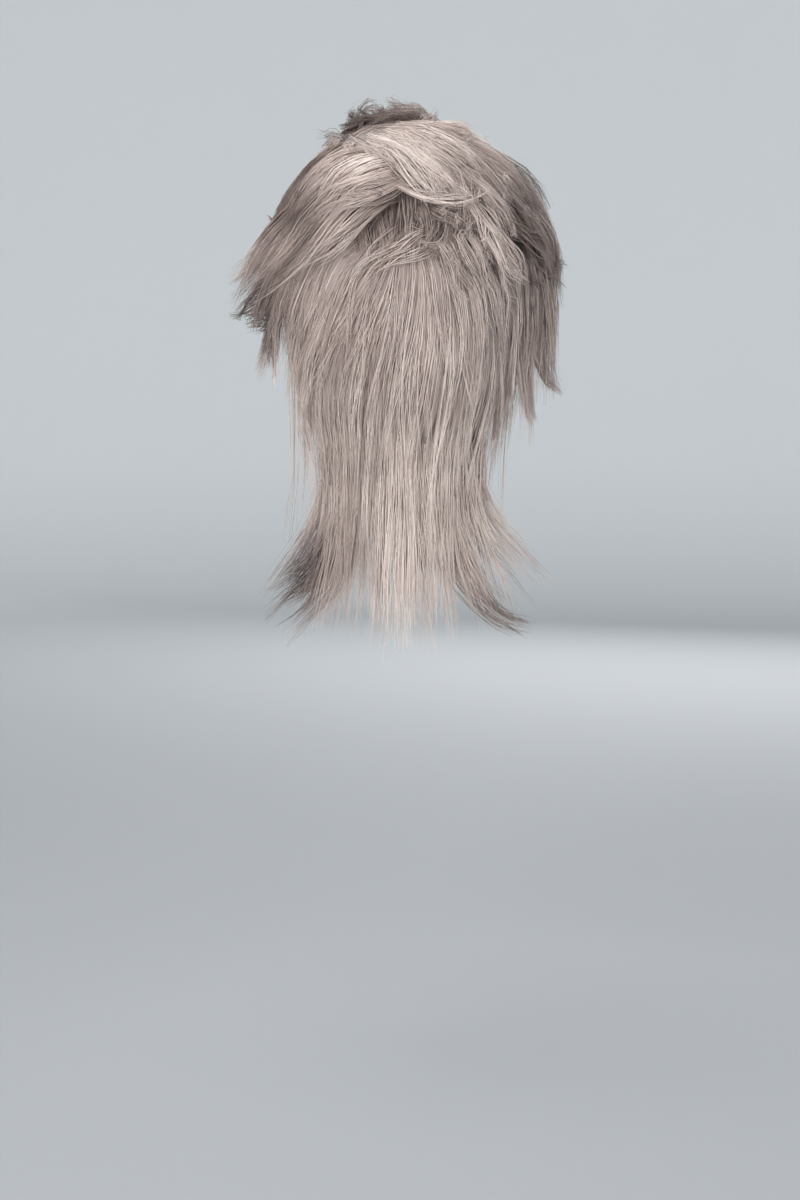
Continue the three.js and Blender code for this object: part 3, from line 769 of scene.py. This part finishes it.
# The crown's front: short tousled hair on top, sewn in a whorl round the middle of the cap. A dark
# tuft stands up out of the whorl and curls over.
dress(
    "crown_front", seed=16, tone=0.4,
    patch={"turn": [135, 225], "level": [0.2, 1], "fill": [0.06, 0.4, 0.3]},
    finishes=(shade_strands, shade_under),
    rows=[
        dict(
            count=5, root_turn=[142, 218], root_down=0.2, tip_turn=[122, 148, 176, 208, 236],
            tip_down=[0.84, 0.8, 0.76, 0.8, 0.86], tip_out=0.62, lift=0.5, width=1.15,
            thickness=1.1, clumps=8, strands=200, brush=0.5, curl=2, frizz=1.3,
        ),
        dict(
            count=3, root_turn=[206, 246], root_down=[0.16, 0.3], tip_turn=[232, 262],
            tip_down=[-0.3, -0.16], tip_out=[0.55, 0.45], lift=0.18, width=0.9, thickness=1,
            clumps=8, strands=150, tone=0.14, brush=0.6, curl=5, frizz=2, drift=0.8, under=0.7,
        ),
        dict(
            count=9, root_turn=[100, 420], root_down=0.02, tip_turn=[140, 460], tip_down=0.5,
            tip_out=0.35, lift=0.24, thickness=0.8, clumps=7, strands=76, tone=0.4, brush=0.8,
            curl=3, frizz=1.5, drift=0.8, under=0,
        ),
        *(
            dict(path=path, width=0.8, thickness=1, clumps=8, strands=92, tone=tone, curl=5,
                 frizz=2.2, drift=0.9, cross=0.3, under=0)
            for tone, path in (
                (0.05, [(60, 0.08, 6), (76, 0.19, 14), (79, 0.24, 22), (78, 0.25, 28),
                        (74, 0.2, 30)]),
                (0.05, [(60, 0.04, 8), (71, 0.13, 17), (74, 0.18, 24), (74, 0.18, 29),
                        (62, 0.12, 30)]),
                (0.1, [(20, 0.05, 10), (60, 0.06, 20), (64, 0.12, 27), (80, 0.17, 30)]),
                (0.16, [(-40, 0.04, 12), (-60, 0.04, 22), (30, 0.06, 27), (60, 0.12, 31)]),
                (0.28, [(-60, 0.1, 12), (-80, 0.1, 21), (-90, 0.04, 26), (120, 0.05, 29)]),
                (0.1, [(80, 0.2, 12), (84, 0.25, 20), (86, 0.26, 26), (80, 0.28, 30)]),
                (0.34, [(-30, 0.06, 10), (-76, 0.13, 22), (-85, 0.2, 28)]),
            )
        ),
    ],
)


# The crown's right: locks sewn beside the whorl and swept back and over to the wearer's right, so
# that they hide the back layer's roots. Their ends are cut uneven, in light and dark locks.
dress(
    "crown_right", seed=17, tone=0.42,
    patch={"turn": [-135, 0], "level": [0.2, 1], "fill": [0.06, 0.4, 0.35]},
    finishes=(light_strands, light_under),
    rows=[
        dict(
            count=3, root_turn=[-8, -30], root_down=[0.36, 0.26], tip_turn=[-26, -50, -66],
            tip_down=[0.88, 0.9, 0.84], tip_out=[0.5, 0.65, 0.75], lift=0.46, sweep=0.9, width=1.1,
            clumps=9, strands=190, brush=0.55, curl=3, frizz=1.5, drift=0.8, under=0.75,
        ),
        dict(
            count=4, root_turn=[-52, -122], root_down=0.2, tip_turn=[-78, -92, -106, -120],
            tip_down=[0.84, 0.98, 0.98, 0.88], tip_out=[0.8, 0.85, 0.8, 0.65], lift=0.3, flick=2,
            width=1.15, thickness=1.1, clumps=9, strands=190, tone=0.3, brush=0.55, curl=3,
            frizz=1.5, drift=0.8, under=0.75,
        ),
        dict(
            count=2, root_turn=[-14, -34], root_down=[0.34, 0.14], tip_turn=[-62, -70],
            tip_down=[0.56, 0.44], tip_out=[0.4, 0.45], lift=0.32, width=0.9, thickness=0.9,
            clumps=8, strands=200, tone=0.55, brush=0.6, curl=3, frizz=1.5, drift=0.8, under=0.7,
        ),
        *(
            dict(path=path, width=width, thickness=0.5, clumps=6, strands=int(110 * width),
                 tone=tone, curl=4, frizz=1.6, drift=0.8, cross=0.3, under=0)
            for width, tone, path in (
                (0.2, 0.8, [(8, 0.64, 28), (-5, 0.72, 33), (-16, 0.75, 37), (-28, 0.75, 39),
                            (-46, 0.71, 40)]),
                (0.5, 0.7, [(-29, 0.73, 34), (-34, 0.81, 36), (-37, 0.89, 37), (-45, 0.95, 39)]),
                (0.6, 0.64, [(-36, 0.83, 37), (-40, 0.93, 38), (-46, 1.01, 40), (-57, 1.07, 43)]),
                (0.6, 0.6, [(-25, 0.84, 32), (-29, 0.93, 34), (-33, 1.02, 35), (-42, 1.08, 36)]),
                (0.6, 0.5, [(-16, 0.86, 28), (-20, 0.93, 31), (-26, 1.02, 33), (-30, 1.09, 34)]),
                (0.8, 0.36, [(-54, 0.58, 27), (-72, 0.62, 29), (-85, 0.7, 34), (-86, 0.82, 38)]),
                (0.8, 0.28, [(-45, 0.67, 32), (-61, 0.71, 34), (-86, 0.78, 37), (-86, 0.9, 40)]),
                (0.8, 0.25, [(-36, 0.76, 33), (-48, 0.81, 36), (-60, 0.87, 39), (-69, 0.95, 43)]),
                (0.5, 0.3, [(-12, 0.75, 30), (-18, 0.79, 32), (-25, 0.84, 33), (-27, 0.91, 34)]),
                (0.5, 0.12, [(-8, 0.73, 28), (-11, 0.8, 29), (-9, 0.86, 27), (-3, 0.89, 24)]),
                (0.5, 0.2, [(-16, 0.75, 30), (-17, 0.83, 31), (-13, 0.89, 29), (-5, 0.92, 26)]),
                (0.6, 0.2, [(-70, 0.94, 36), (-80, 0.99, 43), (-86, 1.02, 52)]),
            )
        ),
    ],
    tuft_sets=[
        dict(count=12, turn=(-88, -45), down=(0.62, 0.92), out=(36, 41), heading=(-60, 30),
             lean=(0.05, 0.08), width=0.25, thickness=0.4, clumps=2, strands=8, curl=2, frizz=0.8,
             rise=1, tone=0.62),
        dict(count=20, turn=(-72, -15), down=(0.45, 0.85), out=(31, 38), heading=(-110, 50),
             lean=(0.05, 0.09), width=0.3, thickness=0.4, clumps=3, strands=10, curl=2, frizz=0.8,
             rise=1, tone=0.6),
        dict(count=14, turn=(-46, -14), down=(0.66, 0.98), out=(33, 37), heading=(-75, 75),
             lean=(0.05, 0.08), width=0.35, thickness=0.4, clumps=3, strands=10, curl=1.5,
             frizz=0.8, rise=1.2, tone=0.56),
    ],
)


# The crown's left: the outermost hair, sewn last beside the whorl. Long shining locks sweep from
# the crown down to the flick at the wearer's left, and a light sheaf crosses over to the right.
dress(
    "crown_left", seed=18, tone=0.56,
    patch={"turn": [0, 135], "level": [0.2, 1], "fill": [0.06, 0.36, 0.3]},
    finishes=(light_strands, light_under),
    rows=[
        dict(
            count=3, root_turn=[8, 34], root_down=[0.4, 0.28], tip_turn=[86, 84, 90],
            tip_down=[1.05, 0.98, 0.9], tip_out=[1.15, 0.75, 0.45], lift=[0.24, 0.24], sweep=0.62,
            fall=1.4, flick=4, width=1.1, clumps=12, strands=240, tone=0.38, brush=0.5, under=0.8,
            drift=0.8,
        ),
        dict(
            count=2, root_turn=[4, 14], root_down=0.4, tip_turn=[42, 62], tip_down=[0.96, 0.9],
            tip_out=[0.5, 0.6], lift=0.42, sweep=0.8, fall=1.2, width=0.9, thickness=0.9, clumps=8,
            strands=200, tone=0.5, brush=0.5, under=0.8,
        ),
        dict(
            count=2, root_turn=[30, 52], root_down=[0.36, 0.2], tip_turn=[-26, -40],
            tip_down=[0.62, 0.7], tip_out=[0.4, 0.5], lift=[0.34, 0.4], sweep=1.1, width=1.15,
            clumps=8, strands=120, tone=0.5, brush=0.6, under=0.7, curl=2,
        ),
        dict(
            count=3, root_turn=[62, 120], root_down=0.18, tip_turn=[84, 100, 120],
            tip_down=[0.84, 0.88, 0.82], tip_out=[0.55, 0.65, 0.6], lift=0.2, width=1.2, clumps=10,
            strands=190, tone=0.4, brush=0.5, drift=0.7, curl=2, under=0.8,
        ),
        *(
            dict(path=path, width=width, thickness=0.6, waist=[0.6, 0.9, 1, 1.1], clumps=9,
                 strands=int(115 * width), tone=tone, brush=0.7, draw=0.3, frizz=1.4, curl=2.5,
                 drift=0.7, cross=0.3, under=0)
            for width, tone, path in (
                (1, 0.5, [(11, 0.48, 24), (29, 0.53, 27), (45, 0.6, 27), (56, 0.71, 27),
                          (62, 0.86, 31), (69, 0.98, 42), (86, 1.06, 62)]),
                (1, 0.5, [(-10, 0.5, 22), (5, 0.58, 24), (19, 0.64, 28), (30, 0.74, 33),
                          (39, 0.84, 37), (46, 0.95, 43), (60, 1.02, 50), (84, 1.06, 60)]),
                (0.8, 0.74, [(-6, 0.58, 22), (9, 0.67, 28), (23, 0.72, 33), (31, 0.77, 36),
                             (39, 0.81, 38)]),
                (0.8, 0.62, [(2, 0.67, 18), (15, 0.75, 26), (25, 0.84, 30), (34, 0.93, 33),
                             (46, 0.99, 36)]),
                (0.9, 0.7, [(-3, 0.54, 26), (13, 0.58, 30), (27, 0.65, 32), (35, 0.74, 34),
                            (40, 0.83, 36)]),
                (0.9, 0.5, [(21, 0.45, 24), (39, 0.53, 26), (56, 0.62, 26), (62, 0.75, 29),
                            (66, 0.89, 36)]),
                (0.9, 0.72, [(40, 0.24, 12), (18, 0.43, 30), (3, 0.5, 34), (-7, 0.6, 34),
                             (-14, 0.68, 32), (-19, 0.74, 31)]),
                (0.9, 0.75, [(40, 0.24, 12), (17, 0.42, 32), (-2, 0.49, 36), (-15, 0.59, 36),
                             (-24, 0.67, 35), (-31, 0.72, 34)]),
                (0.9, 0.66, [(40, 0.24, 12), (14, 0.41, 31), (-7, 0.45, 35), (-23, 0.54, 37),
                             (-33, 0.62, 37), (-39, 0.67, 36)]),
                (0.9, 0.52, [(40, 0.24, 12), (14, 0.38, 28), (-14, 0.41, 33), (-36, 0.46, 32),
                             (-49, 0.53, 31), (-55, 0.6, 32)]),
                (0.8, 0.45, [(40, 0.24, 12), (9, 0.33, 22), (-22, 0.33, 24), (-47, 0.39, 25),
                             (-58, 0.47, 26), (-64, 0.53, 28)]),
                (0.7, 0.5, [(40, 0.24, 12), (22, 0.42, 28), (10, 0.51, 30), (0, 0.59, 29),
                            (-7, 0.65, 28), (-16, 0.69, 29)]),
                (0.14, 0.1, [(59, 0.35, 14), (72, 0.36, 27), (83, 0.42, 36)]),
            )
        ),
    ],
    tuft_sets=[
        dict(count=24, turn=(-20, 60), down=(0.4, 0.75), out=(29, 36), heading=(20, 110),
             lean=(0.04, 0.09), width=0.3, thickness=0.4, clumps=3, strands=9, curl=1.5,
             frizz=0.8, rise=1),
    ],
)


# The plain studio: a pale floor that curves up into a pale wall all round, four soft lights and a
# camera straight behind the wig, level with the nape.
STAGE_FLOOR, STAGE_REACH, STAGE_HEIGHT = -0.705, 3.6, 2.6
STAGE_CURVE, STAGE_STEPS, STAGE_SIDES = 0.8, 12, 64
PAPER_DEEP, PAPER_PALE = (0.34, 0.35, 0.365), (0.76, 0.775, 0.772)
DEEP_CENTRE, PAINTED_LIGHT_BEYOND, PALE_ABOVE = 0.8, 0.15, 4
pale, wire = new_finish("pale_paper")
place = wire.add("ShaderNodeTexCoord", {}, {}, "Object")
x, y, z = (wire.add("ShaderNodeSeparateXYZ", {}, {0: place}, axis) for axis in "XYZ")
# The floor is painted paler the further it lies from the middle: painted light where the lamps'
# light falls off with distance. The wall above is the paler paper.
far = (x * x + y * y) ** 0.5 - DEEP_CENTRE
above = (z - STAGE_FLOOR) * PALE_ABOVE
paleness_and_painted_light = wire.sum_of("MAXIMUM", far * far * PAINTED_LIGHT_BEYOND, above).clamped()
colour = paleness_and_painted_light.mixed((*PAPER_DEEP, 1), (*PAPER_PALE, 1))
close_finish(wire, Base_Color=colour, Roughness=0.9)
arc = np.linspace(0, math.pi / 2, STAGE_STEPS)[1:]
profile = [(0.001, 0), (STAGE_REACH - STAGE_CURVE, 0)]
profile += [
    (STAGE_REACH - STAGE_CURVE * (1 - math.sin(a)), STAGE_CURVE * (1 - math.cos(a))) for a in arc
]
profile += [(STAGE_REACH, STAGE_HEIGHT)]
around = np.linspace(0, 2 * np.pi, STAGE_SIDES, endpoint=False)
bowl_points = [
    (r * math.cos(a), r * math.sin(a), STAGE_FLOOR + rise) for r, rise in profile for a in around
]
bowl_faces = []
for ring in range(0, STAGE_SIDES * (len(profile) - 1), STAGE_SIDES):
    for i in range(STAGE_SIDES):
        first, second = ring + i, ring + (i + 1) % STAGE_SIDES
        bowl_faces.append((first + STAGE_SIDES, second + STAGE_SIDES, second, first))
backdrop = mesh_from("backdrop", bowl_points, bowl_faces, pale, {})

# Each light's name, place, size in metres and power in watts. They all face the wig's middle.
LIGHTS = (
    ("key", (1.2, 2.0, 0.7), 1.5, 54),
    ("fill", (-1.3, 2.2, -0.3), 1.6, 33),
    ("top", (0.3, -0.2, 1.7), 1.0, 10),
    ("front", (-0.6, -2.1, 0.6), 1.6, 26),
)
AIM = (0, 0, -0.15)
for label, place, size, power in LIGHTS:
    lamp = bpy.data.objects.new(label, bpy.data.lights.new(label, "AREA"))
    lamp.data.size, lamp.data.energy = size, power
    lamp.location = place
    aim = np.array(AIM) - np.array(place)
    tilt = math.atan2(math.hypot(aim[0], aim[1]), -aim[2])
    lamp.rotation_euler = (tilt, 0, math.atan2(aim[1], aim[0]) - math.pi / 2)
    bpy.context.collection.objects.link(lamp)

room = bpy.data.worlds.new("room")
bpy.context.scene.world = room
room.use_nodes = True
daylight = room.node_tree.nodes["Background"].inputs
daylight["Color"].default_value, daylight["Strength"].default_value = (0.86, 0.92, 1.0, 1), 0.55

CAMERA_PLACE, CAMERA_LENS, CAMERA_SENSOR, CAMERA_DROP = (0.0024, 2.0, -0.130), 75, 36, 6.55
camera = bpy.data.objects.new("camera", bpy.data.cameras.new("camera"))
camera.data.lens, camera.data.sensor_width = CAMERA_LENS, CAMERA_SENSOR
camera.location = CAMERA_PLACE
camera.rotation_euler = (math.radians(90 - CAMERA_DROP), 0, math.radians(180))
bpy.context.collection.objects.link(camera)
bpy.context.scene.camera = camera
bpy.context.scene.view_settings.view_transform = "Standard"
